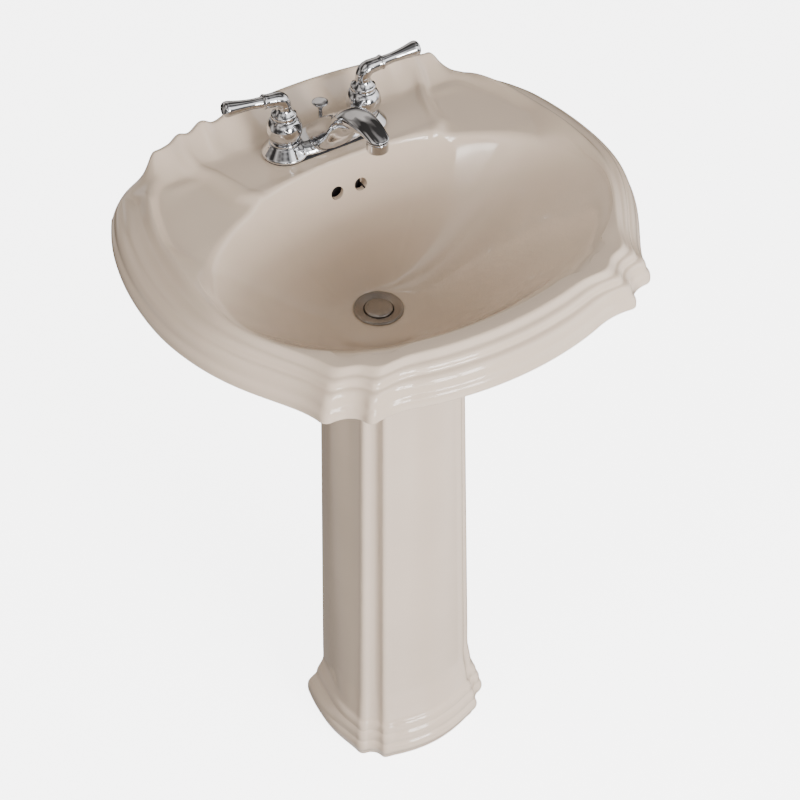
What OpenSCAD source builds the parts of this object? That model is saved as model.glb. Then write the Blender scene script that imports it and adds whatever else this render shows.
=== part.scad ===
// Pedestal sink: a vitreous china basin with a moulded rim on a matching hollow pedestal,
// a 4 inch centreset faucet with two levers, and a pop-up drain worked by a lift rod.
// Inside the modules the drain's axis is X = Y = 0, the floor is Z = 0 and the front is -Y.
// at_frame() then moves everything so that the origin is under the middle of the whole sink.

/* [Basin] */
// Widest part of the rim, left to right
sink_w = 576; // [560:1:592]
// Drain axis to the front of the rim
rim_front = 270; // [262:1:278]
// Drain axis to the wall
wall_y = 178; // [174:1:182]
// Height of the rim's lower edge above the floor
rim_z = 773; // [760:1:790]
// Top of the crest at its middle, above the rim's lower edge
crest_h = 97; // [87:1:107]
// Flat deck that carries the faucet, above the rim's lower edge
deck_h = 62; // [58:1:66]
// Wall thickness of the china
china_t = 13; // [11:1:14]

/* [Pedestal] */
// Height of the pedestal, floor to the underside of the basin
pedestal_h = 660; // [640:5:665]
// Wall thickness of the pedestal
pedestal_t = 13; // [10:1:15]

/* [Faucet] */
// Distance between the two handle axes, a 4 inch centreset
handle_span = 101.6; // [101.6]
// Drain axis to the line of the handle axes
handle_y = 112.6; // [110:0.1:116]
// Length of a lever from its turning axis to its tip
lever_len = 71; // [60:1:80]
// Drain axis to the middle of the spout's outlet
outlet_y = 2; // [-10:1:12]

/* [Drain] */
// Outer diameter of the tailpiece, 1 1/4 inch tube
tail_d = 31.75; // [31.75]
// Length of tailpiece below the drain body
tail_len = 150; // [100:5:220]

/* [Hidden] */
$fn = 64;

china = "#d8cbbb";
chrome = "#c9ccd0";
frame_y = (rim_front - wall_y) / 2;
deck_z = rim_z + deck_h;
crest_z = rim_z + crest_h;

// ---------- small helpers ----------

module at_frame() translate([0, frame_y, 0]) children();

function mix(a, b, t) = a + (b - a) * t;
function smooth(t) = let (c = max(0, min(1, t))) c * c * (3 - 2 * c);
function bump(t) = abs(t) < 1 ? pow(cos(90 * t), 2) : 0;
function bezier(p, t) = let (u = 1 - t)
    u * u * u * p[0] + 3 * u * u * t * p[1] + 3 * u * t * t * p[2] + t * t * t * p[3];
// Points along a chain of [start, control, control, end, steps], without its last point
function chain(curves) = [for (c = curves) for (i = [0 : c[4] - 1]) bezier(c, i / c[4])];
// The right half, front to back, and the left half as its mirror image
function both_sides(half, last) = concat(half, [last],
    [for (i = [len(half) - 1 : -1 : 1]) [-half[i][0], half[i][1]]]);

// Closed solid through loops of equal length, each counter-clockwise from above, with the
// first and the last loop closed by a fan round their middle
module lofted(loops, top_mid, bottom_mid) {
    n = len(loops[0]);
    m = len(loops);
    points = concat([for (ring = loops) each ring], [top_mid, bottom_mid]);
    side = [for (j = [0 : m - 2]) for (k = [0 : n - 1]) let (
        a = j * n + k,
        b = j * n + (k + 1) % n)
        each [[a, b, b + n], [a, b + n, a + n]]];
    top = [for (k = [0 : n - 1]) [m * n, (k + 1) % n, k]];
    bottom = [for (k = [0 : n - 1]) [m * n + 1, (m - 1) * n + k, (m - 1) * n + (k + 1) % n]];
    polyhedron(points, concat(side, top, bottom));
}

module tube(r_out, r_in, h) {
    rotate_extrude() translate([r_in, 0]) square([r_out - r_in, h]);
}

// ---------- basin ----------

// The rim in plan: a bowed front, two ears with a cove between them at each front corner,
// then the side as one long curve back to the wall
sx = sink_w / 576;
sy = rim_front / 270;
corner = [238 * sx, wall_y];
wall_slope = [0.87, 0.49];
rim_half = concat(chain([
    [[0, -270 * sy], [45 * sx, -270 * sy], [84 * sx, -262 * sy], [110 * sx, -254 * sy], 7],
    [[110 * sx, -254 * sy], [124 * sx, -249 * sy], [142 * sx, -246 * sy], [159 * sx, -249 * sy], 4],
    [[159 * sx, -249 * sy], [165 * sx, -250 * sy], [168 * sx, -247 * sy], [169 * sx, -242 * sy], 3],
    [[169 * sx, -242 * sy], [172 * sx, -231 * sy], [184 * sx, -225 * sy], [197 * sx, -225 * sy], 5],
    [[197 * sx, -225 * sy], [203 * sx, -225 * sy], [207 * sx, -222 * sy], [208 * sx, -215 * sy], 3],
    [[208 * sx, -215 * sy], [220 * sx, -165 * sy], [288 * sx, -130 * sy], [288 * sx, -12 * sy], 10],
    [[288 * sx, -12 * sy], [288 * sx, 60], [270 * sx, wall_y - 58], corner, 10]]),
    [for (i = [0 : 12]) [corner[0] * (1 - i / 13), wall_y]]);
rim = both_sides(rim_half, [0, wall_y]);

// The bowl's edge: an oval round bowl_mid, rounder in front than behind
bowl_mid = [0, -78];
bowl_rx = 232 * sx;
bowl_front = rim_front - 48 + bowl_mid[1];
bowl_back = 69 - bowl_mid[1];
function edge_radius(v) = let (n = v[1] > 0 ? 2.25 : 2, b = v[1] > 0 ? bowl_back : bowl_front)
    pow(pow(abs(v[0]) / bowl_rx, n) + pow(abs(v[1]) / b, n), -1 / n);

// The rim rises a little from its front corners to its sides
function lift(y) = 11 * smooth((y + 210) / 150) - 10 * smooth((y - 80) / 98);

// Width of the outer mouldings: narrow in front, wide at the sides and the back
function crease_at(y) = mix(24, 36, smooth((y + 160) / 220));
crease_z = rim_z + 41;
fascia = [[0, 7], [4, 14], [5, 16], [9, 25], [14, 30], [15.5, 30.5], [19, 37], [22, 40], [24, 41]];
function fascia_z(y, d, crease) = rim_z + lift(y) + lookup(
    d < 15.5 ? d : 15.5 + (d - 15.5) * 8.5 / (crease - 15.5), fascia);

function roll_end(y, reach) = min(mix(50, 60, smooth((y + 60) / 90)), reach - 4);

// Level surface inside the mouldings: lip in front, soap dishes at the sides, deck behind
dish_h = 53;
function inner_z(x, y) = let (
    back = smooth((y + 60) / 90),
    dish_x = 124 + 20 * max(0, min(1, (y - 56) / 55)),
    to_dish = smooth((abs(x) - dish_x) / 14))
    mix(rim_z + 45, mix(deck_z, rim_z + dish_h, to_dish), back);

// Crest along the wall: a low arch with two scallops on each side
function crest_top(x) = crest_z - 27 * pow(x / 190, 2)
    + 6 * bump((abs(x) - 122) / 14) + 5 * bump((abs(x) - 150) / 12) - 3 * bump((abs(x) - 103) / 14);
function cove(y) = pow(max(0, min(1, (y - wall_y + 40) / 40)), 1.6);
// Inner moulding: a roll that rises along the sides into the ends of the crest
function roll_top(y) = rim_z + lift(y) + 48 + 7 * smooth((y + 120) / 120)
    + 16 * pow(max(0, min(1, (y - 30) / 148)), 1.5);

// Height of the basin's top at x, y, where d is the distance in from the rim's outline
// and reach is the distance from the outline to the bowl's edge
function top_z(x, y, d, reach) = let (
    crease = crease_at(y),
    roll_w = roll_end(y, reach) - crease,
    inner = inner_z(x, y),
    roll = mix(roll_top(y), inner, smooth(((d - crease) / roll_w - 0.6) / 0.5)),
    wall = mix(inner, crest_top(x), cove(y)) - 3 * pow(max(0, (y - wall_y + 7) / 7), 2))
    d < crease ? fascia_z(y, d, crease)
    : mix(crease_z + lift(y), max(roll, wall), smooth((d - crease) / mix(5, 10, smooth(y / 100))));

// One column of the basin for each rim point: where it is, and the way in to the bowl
function on_wall(p) = p[1] > wall_y - 0.01;
function way_out(p) = (p - bowl_mid) / norm(p - bowl_mid);
function edge_point(p) = bowl_mid + way_out(p) * edge_radius(way_out(p));
function along(p, d) = let (e = edge_point(p)) p + (e - p) * d / norm(e - p);
function depth_in(p, q, d) = on_wall(p)
    ? (corner[0] - abs(q[0])) * wall_slope[0] + (wall_y - q[1]) * wall_slope[1] : d;
function on_top(p, d) = let (q = along(p, d), reach = norm(edge_point(p) - p))
    [q[0], q[1], top_z(q[0], q[1], depth_in(p, q, d), on_wall(p) ? 200 : reach)];

wall_steps = [0, 0, 0.015, 0.03, 0.05, 0.08, 0.12, 0.16, 0.2, 0.25, 0.3, 0.36, 0.43, 0.5, 0.6, 0.72, 0.86, 1];
function top_step(p, i) = let (
    reach = norm(edge_point(p) - p),
    crease = crease_at(p[1]),
    inner_foot = roll_end(p[1], reach))
    on_wall(p) ? wall_steps[i] * reach
    : i < 8 ? [0, 0, 4, 5, 9, 14, 15.5, 19][i]
    : i < 10 ? crease - 3 * (9 - i)
    : i < 15 ? mix(crease, inner_foot, [0.15, 0.35, 0.6, 0.85, 1][i - 10])
    : mix(inner_foot, reach, [0.35, 0.7, 1][i - 15]);
function lower_edge(p, d) = let (q = along(p, d)) [q[0], q[1], rim_z + lift(p[1])];

// Bowl surface from its edge, w = 0, to the drain, w = 1
drain_z = rim_z - 109;
function bowl_point(p, w) = let (
    v = way_out(p),
    e = edge_point(p),
    edge_z = on_top(p, norm(e - p))[2],
    q = mix(e, 20 * v, w),
    steep = mix(1.9, 1.15, smooth((v[1] + 0.2) / 1)))
    [q[0], q[1], drain_z + (edge_z - drain_z) * pow(1 - w, steep)];

// Underside of the bowl, from under its edge, w = 0, to the seat on the pedestal, w = 1
seat_z = pedestal_h;
function seat_point(v) = let (b = v[1] > 0 ? 70 : 118)
    v / sqrt(pow(v[0] / 84, 2) + pow(v[1] / b, 2));
function under_point(p, w) = let (
    v = way_out(p),
    e = edge_point(p),
    outer = e + v * (9 + 8 * smooth(v[1])),
    edge_z = on_top(p, norm(e - p))[2] - china_t - 2,
    q = mix(outer, seat_point(v), w),
    steep = mix(1.3, 1.1, smooth(v[1])))
    [q[0], q[1], seat_z + (edge_z - seat_z) * pow(1 - w, steep)];
function under_top(p, d) = let (t = on_top(p, d)) [t[0], t[1], t[2] - china_t];
function under_reach(p, f) = let (reach = norm(edge_point(p) - p)) mix(17, reach - 12, f);

hub_z = seat_z - 8;
overflow_x = 15.3;
overflow_z = rim_z + 24;
wall_bolt_span = 203.2;
wall_bolt_z = rim_z + 24;

module basin_form() {
    bowl = [for (w = [0.97, 0.9, 0.8, 0.7, 0.58, 0.46, 0.34, 0.23, 0.14, 0.07, 0.025])
        [for (p = rim) bowl_point(p, w)]];
    top = [for (i = [17 : -1 : 1]) [for (p = rim) on_top(p, top_step(p, i))]];
    skirt = [[for (p = rim) lower_edge(p, 0)], [for (p = rim) lower_edge(p, 11)],
        [for (p = rim) let (q = under_top(p, 17)) [along(p, 13)[0], along(p, 13)[1], mix(rim_z + lift(p[1]), q[2], 0.4)]]];
    under = [for (f = [0, 0.35, 0.7, 1]) [for (p = rim) under_top(p, under_reach(p, f))]];
    outer = [for (w = [0, 0.12, 0.28, 0.46, 0.66, 0.84, 1]) [for (p = rim) under_point(p, w)]];
    hub = [[for (p = rim) concat(way_out(p) * 44, seat_z)], [for (p = rim) concat(way_out(p) * 40, hub_z)]];
    lofted(concat(bowl, top, skirt, under, outer, hub), [0, 0, drain_z], [0, 0, hub_z]);
}

module basin() color(china) at_frame() difference() {
    basin_form();
    // Drain hole, 1 3/4 inch, and the seat of its flange
    translate([0, 0, hub_z - 5]) cylinder(r = 22.25, h = 40);
    translate([0, 0, drain_z + 0.3]) cylinder(r = 30, h = 12);
    // Faucet holes
    for (x = [-handle_span / 2, 0, handle_span / 2])
        translate([x, handle_y, deck_z - 40]) cylinder(r = 15.9, h = 60);
    // Overflow: two holes into a passage that leads down to the drain
    for (x = [-overflow_x, overflow_x])
        translate([x, 50, overflow_z]) rotate([-90, 0, 0]) cylinder(r = 7, h = 22);
    translate([20, 0, 0]) rotate([90, 0, -90]) linear_extrude(40)
        polygon([[-66, 806], [-76, 806], [-70, 720], [-58, 692], [-46, 668], [-34, 655], [-15, 655],
                 [-15, 661], [-32, 662], [-44, 690], [-58, 735], [-66, 775]]);
    // Wall bolts
    for (x = [-wall_bolt_span / 2, wall_bolt_span / 2])
        translate([x, wall_y - 30, wall_bolt_z]) rotate([-90, 0, 0]) cylinder(r = 6.5, h = 40);
}

// ---------- pedestal ----------

// Half of the foot in plan, with the same ears and coves as the rim
foot_half = concat(chain([
    [[0, -139], [22, -139], [42, -134], [57, -129], 4],
    [[57, -129], [64, -127], [71, -127], [72, -121], 3],
    [[72, -121], [73, -113], [80, -107], [87, -106], 4],
    [[87, -106], [92, -105], [95, -101], [95, -95], 3],
    [[95, -95], [98, -78], [105, -60], [105, -34], 5],
    [[105, -34], [105, -15], [102, 0], [99, 15], 5]]), [[99, 15]]);
foot = concat([for (i = [len(foot_half) - 1 : -1 : 1]) [-foot_half[i][0], foot_half[i][1]]], foot_half);

// Height up the pedestal, and how far the wall stands in from the foot's outline there at
// the front and at the sides: a plinth, a wide roll, a step and a flare, then the column
flare_h = 104;
function column_in(z, low, high) = mix(low, high, (z - flare_h) / (pedestal_h - flare_h));
profile = concat(
    [[0, 1.5, 1.8], [4, 0, 0], [8, -0.6, -1.2], [13.5, -4.2, -3.6], [21, -6.3, -4.6], [28, -4.4, -4.6],
     [30.5, -1.9, -4.5], [36, -2, -3.4], [41, -1.6, 0.3], [47, 3, 7], [54, 3.2, 9.6], [60.4, 7.6, 12],
     [64.5, 9.9, 14.5], [76, 11.4, 19], [88, 13.2, 19], [flare_h, 16, 19]],
    [for (z = [215 : 111 : pedestal_h]) [z, column_in(z, 16, 37.5), column_in(z, 19, 28)]],
    [[pedestal_h, 37.5, 28]]);
function wall_in(p, s) = mix(s[1], s[2], smooth((p[1] + 80) / 60));
function drawn_in(p, d) = p * (1 - d / norm(p));

module pedestal_shell() {
    n = len(foot);
    m = len(profile);
    points = [for (s = profile) each concat(
        [for (p = foot) concat(drawn_in(p, wall_in(p, s)), s[0])],
        [for (p = foot) concat(drawn_in(p, wall_in(p, s) + pedestal_t + 2), s[0])])];
    w = 2 * n;
    function outer(j, k) = j * w + k;
    function inner(j, k) = j * w + n + k;
    walls = [for (j = [0 : m - 2]) for (k = [0 : n - 2]) each [
        [outer(j, k), outer(j + 1, k), outer(j + 1, k + 1)],
        [outer(j, k), outer(j + 1, k + 1), outer(j, k + 1)],
        [inner(j, k), inner(j + 1, k + 1), inner(j + 1, k)],
        [inner(j, k), inner(j, k + 1), inner(j + 1, k + 1)]]];
    rims = [for (k = [0 : n - 2]) each [
        [outer(0, k), outer(0, k + 1), inner(0, k + 1)],
        [outer(0, k), inner(0, k + 1), inner(0, k)],
        [outer(m - 1, k), inner(m - 1, k + 1), outer(m - 1, k + 1)],
        [outer(m - 1, k), inner(m - 1, k), inner(m - 1, k + 1)]]];
    ends = [for (j = [0 : m - 2]) each [
        [outer(j, 0), inner(j, 0), inner(j + 1, 0)],
        [outer(j, 0), inner(j + 1, 0), outer(j + 1, 0)],
        [outer(j, n - 1), inner(j + 1, n - 1), inner(j, n - 1)],
        [outer(j, n - 1), outer(j + 1, n - 1), inner(j + 1, n - 1)]]];
    polyhedron(points, concat(walls, rims, ends));
}

module pedestal() color(china) at_frame() {
    pedestal_shell();
    // Web between the side walls, with the hole for the floor bolt
    difference() {
        translate([-90, -46, 0]) cube([180, 24, 14]);
        translate([0, -34, -1]) cylinder(r = 5.5, h = 16);
    }
}

// ---------- faucet ----------

gasket_t = 1.5;
body_z = deck_z + gasket_t;
hub_top = 14.5;
ball_r = 20;
ball_z = body_z + 31.5;
collar_z = body_z + 48;
outlet_z = deck_z + 53.5;

module at_handles() for (s = [-1, 1]) translate([s * handle_span / 2, handle_y, 0]) children();

module spout_ball(y, z) translate([0, y, z]) scale([1, 1, 0.62]) sphere(r = 12.5, $fn = 24);

module faucet_body() color(chrome) at_frame() difference() {
    union() {
        at_handles() translate([0, 0, body_z]) rotate_extrude() polygon([[0, 0], [27, 0], [27, 2.5],
            [25.5, 5], [23.5, 7], [21.5, 9.5], [19.5, 12], [18.2, 13], [17.8, hub_top], [0, hub_top]]);
        // Bridge between the hubs, rising into the root of the spout
        hull() {
            for (s = [-1, 1]) translate([s * 34, 0, 0]) {
                translate([0, 92, body_z]) cylinder(r = 8, h = 5);
                translate([0, 130, body_z]) cylinder(r = 8, h = 5);
            }
            translate([-16, 90, body_z + 20]) cube([32, 36, 6]);
        }
        hull() {
            translate([-17, 84, body_z + 6]) cube([34, 40, 22]);
            translate([0, 50, body_z + 58]) scale([1, 0.8, 0.5]) sphere(r = 17, $fn = 24);
        }
        hull() {
            translate([0, 50, body_z + 58]) scale([1, 0.8, 0.5]) sphere(r = 17, $fn = 24);
            spout_ball(14, body_z + 69.5);
        }
        hull() {
            spout_ball(14, body_z + 69.5);
            spout_ball(outlet_y, body_z + 68);
            translate([0, outlet_y, outlet_z + 13.6]) cylinder(r = 12.5, h = 2, $fn = 32);
        }
    }
    // Valve chambers, lift rod hole, outlet socket
    at_handles() translate([0, 0, body_z - 1]) cylinder(r = 10.4, h = 30);
    translate([0, lift_y, body_z - 1]) cylinder(r = 2.9, h = 60);
    translate([0, outlet_y, outlet_z]) cylinder(r = 10.2, h = 20);
    translate([0, outlet_y, outlet_z - 6]) cylinder(r = 13, h = 19.6);
}

module faucet_gasket() color("#3a3a3c") at_frame() difference() {
    translate([0, 0, deck_z]) linear_extrude(gasket_t) difference() {
        union() {
            for (s = [-1, 1]) translate([s * handle_span / 2, handle_y]) circle(r = 25.5);
            translate([-48, handle_y - 25]) square([96, 46]);
        }
        for (x = [-handle_span / 2, handle_span / 2]) translate([x, handle_y]) circle(r = shank_r + 0.2);
        translate([0, handle_y]) circle(r = 13);
    }
}

module aerator_housing() color(chrome) at_frame() translate([0, outlet_y, outlet_z]) rotate_extrude()
    polygon([[8.2, 0], [11.6, 0], [12, 0.6], [12, 12.8], [11.6, 13.2], [10, 13.2], [10, 19], [8.2, 19]]);

module aerator_screen() color("#8d9094") at_frame() translate([0, outlet_y, outlet_z + 1.2])
    linear_extrude(5) difference() {
        circle(r = 8.2);
        for (a = [0 : 60 : 300]) rotate(a) translate([4.6, 0]) circle(r = 1.5);
        circle(r = 1.5);
    }

module cartridge(s) color("#b08d4a") at_frame() translate([s * handle_span / 2, handle_y, body_z])
    rotate_extrude() polygon([[3.6, 2], [10, 2], [10, 36], [7.6, 38], [7.6, 44], [3.6, 44]]);
module hot_cartridge() cartridge(-1);
module cold_cartridge() cartridge(1);

module stem(s) color("#b9a06a") at_frame() translate([s * handle_span / 2, handle_y, body_z + 12])
    cylinder(r = 3.55, h = 44);
module hot_stem() stem(-1);
module cold_stem() stem(1);

// Round cover over each valve: a ball on a waist ring, open through its middle
module bonnet(s) color(chrome) at_frame() translate([s * handle_span / 2, handle_y, body_z])
    difference() {
        union() {
            intersection() {
                translate([0, 0, 31.5]) sphere(r = ball_r);
                translate([0, 0, hub_top]) cylinder(r = 30, h = 33);
            }
            translate([0, 0, hub_top]) tube(15.2, 5, 3);
            translate([0, 0, 45.5]) tube(14.4, 5, 2);
        }
        translate([0, 0, hub_top - 1]) cylinder(r = 10.1, h = 40);
    }
module hot_bonnet() bonnet(-1);
module cold_bonnet() bonnet(1);

// Lever: a collar on the stem, a neck that bends outwards, a step ring and a tapered grip
neck_z = 62;
// Both levers rest a few degrees off the line of the handles
function rest_turn(s) = s < 0 ? -6 : -3;
module lever(s) color(chrome) at_frame() translate([s * handle_span / 2, handle_y, body_z])
    rotate(rest_turn(s)) mirror([s < 0 ? 1 : 0, 0, 0]) difference() {
        union() {
            translate([0, 0, collar_z - body_z]) rotate_extrude() polygon([[0, 0], [14.3, 0], [14.3, 3],
                [12.8, 5.2], [10.4, 7], [8.9, 9], [8.4, 11.5], [8.4, neck_z - 48], [0, neck_z - 48]]);
            translate([10, 0, neck_z]) rotate([90, 180, 0]) rotate_extrude(angle = -90)
                translate([10, 0]) circle(r = 8.3);
            translate([10, 0, neck_z + 10]) rotate([0, 85, 0]) rotate_extrude() polygon([[0, 0], [8.2, 0],
                [7.6, 8], [7.8, 12], [8.4, 12.8], [8.4, 14.2], [6.4, 14.8], [6.1, 18], [5.9, 26],
                [6.6, 36], [7.9, 46], [8.8, 53], [8.6, 56.5], [7, lever_len - 12.2],
                [4, lever_len - 10.4], [0, lever_len - 10]]);
        }
        // Socket for the stem and the set screw's hole at the back
        translate([0, 0, 44]) cylinder(r = 3.6, h = 13);
        translate([0, 0, collar_z - body_z + 3.2]) rotate([-90, 0, 0]) cylinder(r = 1.5, h = 20);
    }
module hot_lever() lever(-1);
module cold_lever() lever(1);

module set_screw(s) color("#5d6064") at_frame()
    translate([s * handle_span / 2, handle_y, collar_z + 3.2]) rotate(rest_turn(s))
    rotate([-90, 0, 0]) difference() {
        translate([0, 0, 3.7]) cylinder(r = 1.5, h = 9);
        translate([0, 0, 11]) cylinder(r = 0.8, h = 3, $fn = 6);
    }
module hot_set_screw() set_screw(-1);
module cold_set_screw() set_screw(1);

// Threaded inlet under each valve: a thick part through the deck for the nut, then a 1/2 inch pipe end
shank_r = 12;
inlet_r = 10.4;
inlet_len = 20;
module shank(s) color("#b08d4a") at_frame() translate([s * handle_span / 2, handle_y, body_z - 62])
    rotate_extrude() polygon([[6.5, 0], [inlet_r - 0.6, 0], [inlet_r, 0.8], [inlet_r, inlet_len],
        [shank_r - 0.6, inlet_len], [shank_r, inlet_len + 0.6], [shank_r, 62], [9.9, 62], [9.9, 64],
        [6.5, 64]]);
module hot_shank() shank(-1);
module cold_shank() shank(1);

under_deck = deck_z - china_t;
module shank_washers() color("#8c8f93") at_frame() at_handles()
    translate([0, 0, under_deck - 2]) tube(22, shank_r + 0.2, 2);

module shank_nuts() color("#c9a45a") at_frame() at_handles() translate([0, 0, under_deck - 14])
    difference() {
        union() {
            cylinder(r = 16, h = 12, $fn = 6);
            translate([0, 0, 9]) cylinder(r = 18, h = 3);
        }
        translate([0, 0, -1]) cylinder(r = shank_r + 0.03, h = 14);
    }

// ---------- pop-up drain ----------

lift_y = 121;
rod_r = 2.4;
lift_low = 606;
knob_z = body_z + 34;
module lift_rod() color(chrome) at_frame() translate([0, lift_y, lift_low])
    cylinder(r = rod_r, h = knob_z + 2 - lift_low);

module lift_knob() color(chrome) at_frame() translate([0, lift_y, knob_z]) difference() {
    rotate_extrude() polygon([[0, 0], [3.4, 0], [3.2, 1.5], [4.2, 3.4], [7.2, 5.4], [9.1, 6.6],
        [9.2, 7.6], [8.6, 8.6], [5, 9.3], [0, 9.6]]);
    translate([0, 0, -1]) cylinder(r = rod_r, h = 3);
}

flange_r = 29;
seat_at = drain_z + 0.3;
module flange_seal() color("#6e6a64") at_frame() translate([0, 0, seat_at]) tube(27.5, 19.4, 0.8);

module drain_flange() color("#b9b6b0") at_frame() rotate_extrude() polygon([[17.2, seat_at - 7],
    [19.2, seat_at - 7], [19.2, seat_at + 0.8], [flange_r, seat_at + 0.8], [flange_r, seat_at + 1.8],
    [27.6, seat_at + 3], [25, seat_at + 3.1], [19, seat_at + 1.2], [17.6, seat_at + 0.2],
    [17.2, seat_at - 1.5]]);

stopper_top = seat_at + 3.6;
module stopper() color("#b4b2ae") at_frame() difference() {
    union() {
        translate([0, 0, stopper_top - 5]) rotate_extrude() polygon([[0, 0], [13.5, 0], [13.5, 1.6],
            [15.6, 2.4], [16, 3.6], [15.3, 4.4], [12, 4.9], [0, 5]]);
        translate([0, 0, stopper_top - 56]) cylinder(r = 4, h = 52);
        for (a = [45, 135]) rotate(a) translate([-13, -0.9, stopper_top - 44]) cube([26, 1.8, 40]);
        translate([0, 1.5, pivot_z]) rotate([90, 0, 0]) cylinder(r = 9, h = 3);
        translate([-4, -1.5, pivot_z + 6]) cube([8, 3, 12]);
    }
    // Eye for the pivot rod's end
    translate([0, 5, pivot_z]) rotate([90, 0, 0]) cylinder(r = 4.8, h = 10);
}

module stopper_seal() color("#2c2c2e") at_frame() translate([0, 0, stopper_top - 4.9])
    tube(16, 13.5, 1.4);

pivot_z = 596;
pivot_y = 25;
port_r = 9;
module drain_body() color("#b9b6b0") at_frame() difference() {
    union() {
        translate([0, 0, 618]) cylinder(r = 21, h = seat_at - 0.3 - 618);
        translate([0, 0, 570]) cylinder(r = 18.5, h = 48);
        translate([0, 0, pivot_z]) rotate([-90, 0, 0]) cylinder(r = 12, h = 33);
    }
    translate([0, 0, 560]) cylinder(r = tail_top_r + 0.03, h = 28);
    translate([0, 0, 580]) cylinder(r = 16.6, h = 100);
    translate([0, 0, seat_at - 7.2]) cylinder(r = 19.2, h = 20);
    // Overflow windows, level with the passage in the basin
    for (a = [0 : 90 : 270]) rotate(a) translate([0, 0, hub_z + 2.7])
        rotate([-90, 0, 0]) cylinder(r = 2, h = 30);
    translate([0, 0, pivot_z]) rotate([-90, 0, 0]) cylinder(r = port_r, h = 40);
}

module drain_gasket() color("#2c2c2e") at_frame() translate([0, 0, hub_z - 12]) rotate_extrude()
    polygon([[21, 0], [31, 0], [31, 5], [24, 12], [21, 12]]);
module drain_washer() color("#e2ddd0") at_frame() translate([0, 0, hub_z - 14]) tube(31, 21.1, 2);
module drain_nut() color("#b9b6b0") at_frame() translate([0, 0, hub_z - 24]) difference() {
    union() {
        cylinder(r = 29, h = 10, $fn = 6);
        translate([0, 0, 8]) cylinder(r = 30, h = 2);
    }
    translate([0, 0, -1]) cylinder(r = 21, h = 12);
}

// Plain tube with its top turned down to screw into the drain body
tail_top_r = tail_d / 2 - 0.3;
module tailpiece() color("#c9ccd0") at_frame() {
    translate([0, 0, 588 - tail_len]) tube(tail_d / 2, tail_d / 2 - 1.2, tail_len - 18);
    translate([0, 0, 570]) tube(tail_top_r, tail_d / 2 - 1.2, 18);
}

// Pivot rod: a ball in the drain body's port, one end in the stopper's eye, the other in the clevis
ball_seat_r = 7.2;
module pivot_rod() color(chrome) at_frame() translate([0, 0, pivot_z]) {
    translate([0, pivot_y, 0]) sphere(r = ball_seat_r);
    translate([0, -3, 0]) rotate([-90, 0, 0]) cylinder(r = rod_r, h = 147);
}

// Seat ring between the ball and the port
module pivot_seat() color("#f0efe9") at_frame() translate([0, pivot_y, pivot_z]) rotate([-90, 0, 0])
    difference() {
        translate([0, 0, -7.5]) cylinder(r = port_r - 0.05, h = 9.5);
        sphere(r = ball_seat_r + 0.08);
        translate([0, 0, -10]) cylinder(r1 = 7.6, r2 = 5.6, h = 5);
    }

module pivot_nut() color("#e9e6df") at_frame() translate([0, pivot_y, pivot_z]) rotate([-90, 0, 0])
    difference() {
        union() {
            translate([0, 0, -6]) cylinder(r = 15, h = 15, $fn = 48);
            for (a = [0 : 30 : 330]) rotate(a) translate([14.6, 0, -6]) cylinder(r = 1.4, h = 12, $fn = 16);
        }
        translate([0, 0, -7]) cylinder(r = 12.05, h = 15.1);
        translate([0, 0, 4]) cylinder(r1 = 5.4, r2 = 7, h = 6);
        sphere(r = ball_seat_r + 0.1);
    }

// Strap that joins the lift rod to the pivot rod
strap_y = lift_y + rod_r + 0.1;
module clevis() color("#a9abae") at_frame() difference() {
    union() {
        translate([-6.5, strap_y, 560]) cube([13, 1.4, 78]);
        translate([-6.5, lift_y - 4, 622]) cube([13, 9.5, 12]);
    }
    translate([0, lift_y, 600]) cylinder(r = rod_r + 0.05, h = 60);
    for (z = [568, 582, pivot_z])
        translate([0, lift_y - 10, z]) rotate([-90, 0, 0]) cylinder(r = 4, h = 30);
    translate([0, lift_y - 10, 628]) rotate([-90, 0, 0]) cylinder(r = 1.9, h = 8.2);
}

module clevis_screw() color("#a9abae") at_frame() translate([0, lift_y - rod_r, 628])
    rotate([90, 0, 0]) {
        cylinder(r = 1.9, h = 8);
        translate([-6, -1, 5]) cube([12, 2, 8]);
    }

// Flat spring clip gripping the pivot rod on both sides of the strap
module spring_clip() color("#8d9094") at_frame() translate([0, 0, pivot_z]) difference() {
    union() {
        translate([-4, strap_y - 6, -13]) cube([8, 0.8, 20]);
        translate([-4, strap_y + 9.4, -13]) cube([8, 0.8, 20]);
        translate([-2.5, strap_y - 6, -13]) cube([5, 16.2, 0.8]);
    }
    translate([0, strap_y - 20, 0]) rotate([-90, 0, 0]) cylinder(r = rod_r, h = 40);
}

basin();
pedestal();
faucet_body();
faucet_gasket();
aerator_housing();
aerator_screen();
hot_cartridge();
cold_cartridge();
hot_stem();
cold_stem();
hot_bonnet();
cold_bonnet();
hot_lever();
cold_lever();
hot_set_screw();
cold_set_screw();
hot_shank();
cold_shank();
shank_washers();
shank_nuts();
lift_rod();
lift_knob();
drain_flange();
flange_seal();
stopper();
stopper_seal();
drain_body();
drain_gasket();
drain_washer();
drain_nut();
tailpiece();
pivot_rod();
pivot_seat();
pivot_nut();
clevis();
clevis_screw();
spring_clip();
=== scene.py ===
"""Looks for the pedestal sink.

Lengths in the shape functions are millimetres in the drain's frame: X = Y = 0 on the drain's axis, floor at
Z = 0, front towards -Y. place() turns them into metres in the part's frame.
"""
import math
import bpy
import bmesh
import numpy as np
from mathutils import Matrix, Vector


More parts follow.
